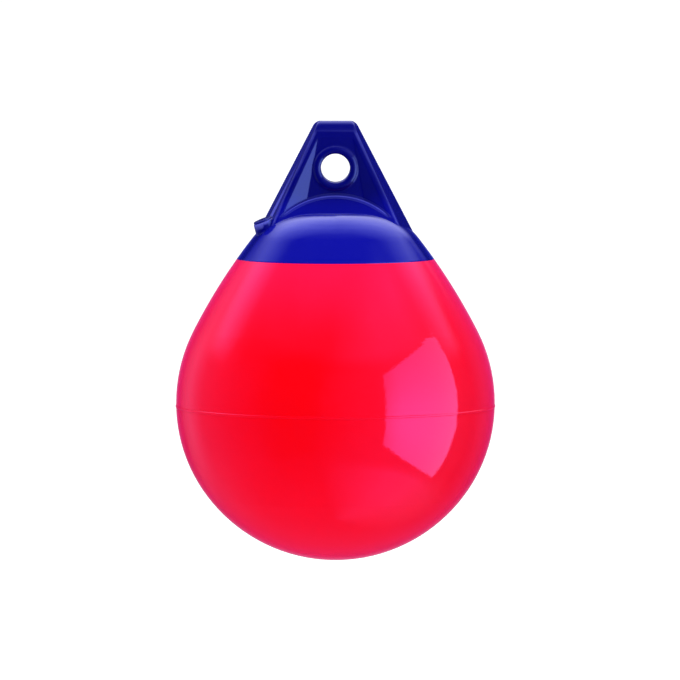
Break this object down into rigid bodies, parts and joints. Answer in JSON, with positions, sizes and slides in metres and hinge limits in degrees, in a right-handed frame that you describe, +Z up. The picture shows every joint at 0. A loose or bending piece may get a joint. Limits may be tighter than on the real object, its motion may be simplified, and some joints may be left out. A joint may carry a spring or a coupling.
{
  "type": "inflatable mooring buoy",
  "caption": "Inflatable teardrop mooring and fender buoy with a moulded rope eye end and an inflation valve.",
  "frame": {"origin": "centre of the rope eye, on the buoy's axis", "axes": "+Z up along the buoy's axis, from the ball towards the rope eye; +Y along the eye's hole; X across the flat of the eye plate, with the valve on the -X shoulder"},
  "size_m": [0.2808, 0.2808, 0.3859],
  "materials": {
    "hull_vinyl": "glossy moulded vinyl",
    "end_vinyl": "glossy moulded vinyl",
    "valve_nylon": "moulded blue nylon",
    "valve_rubber": "black rubber"
  },
  "bodies": {
    "root": {"hull": "hull_vinyl", "rope_hold": "end_vinyl", "valve_body": "valve_nylon", "valve_washer": "valve_rubber", "valve_screw": "valve_nylon"}
  },
  "joints": []
}
